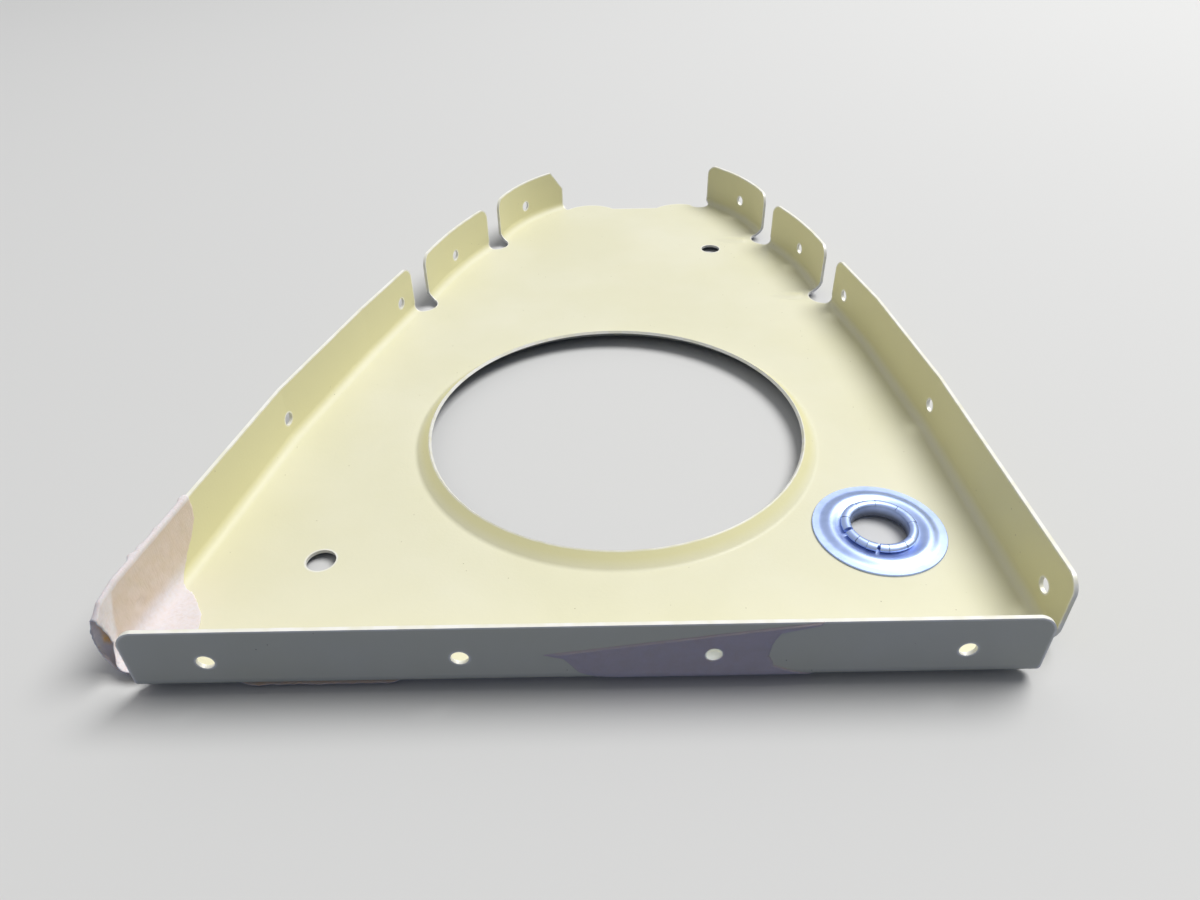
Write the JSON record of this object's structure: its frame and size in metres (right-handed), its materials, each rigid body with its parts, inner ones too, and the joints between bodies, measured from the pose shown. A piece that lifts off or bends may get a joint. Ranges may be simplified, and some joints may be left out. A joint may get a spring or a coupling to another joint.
{
  "type": "aircraft wing nose rib",
  "caption": "Pressed sheet-metal nose rib for a small wing: flat web with a flanged lightening hole, notched skin flanges, a riveted spar flange and a metal grommet.",
  "frame": {"origin": "middle of the spar rivet row, on the outer face of the spar flange", "axes": "+X along the spar, +Y from the spar towards the nose, +Z out of the web on the side that the flanges stand"},
  "size_m": [0.1805, 0.2359, 0.0176],
  "materials": {
    "primed_sheet": "satin pale cream-yellow primer with fine specks",
    "grommet_metal": "bright plated, lightly scuffed",
    "masking_tape": "matt creped paper tape, whitened where it is folded"
  },
  "bodies": {
    "root": {"rib": "primed_sheet", "grommet_eyelet": "grommet_metal", "grommet_washer": "grommet_metal", "corner_tape": "masking_tape", "spar_tape": "masking_tape"}
  },
  "joints": []
}
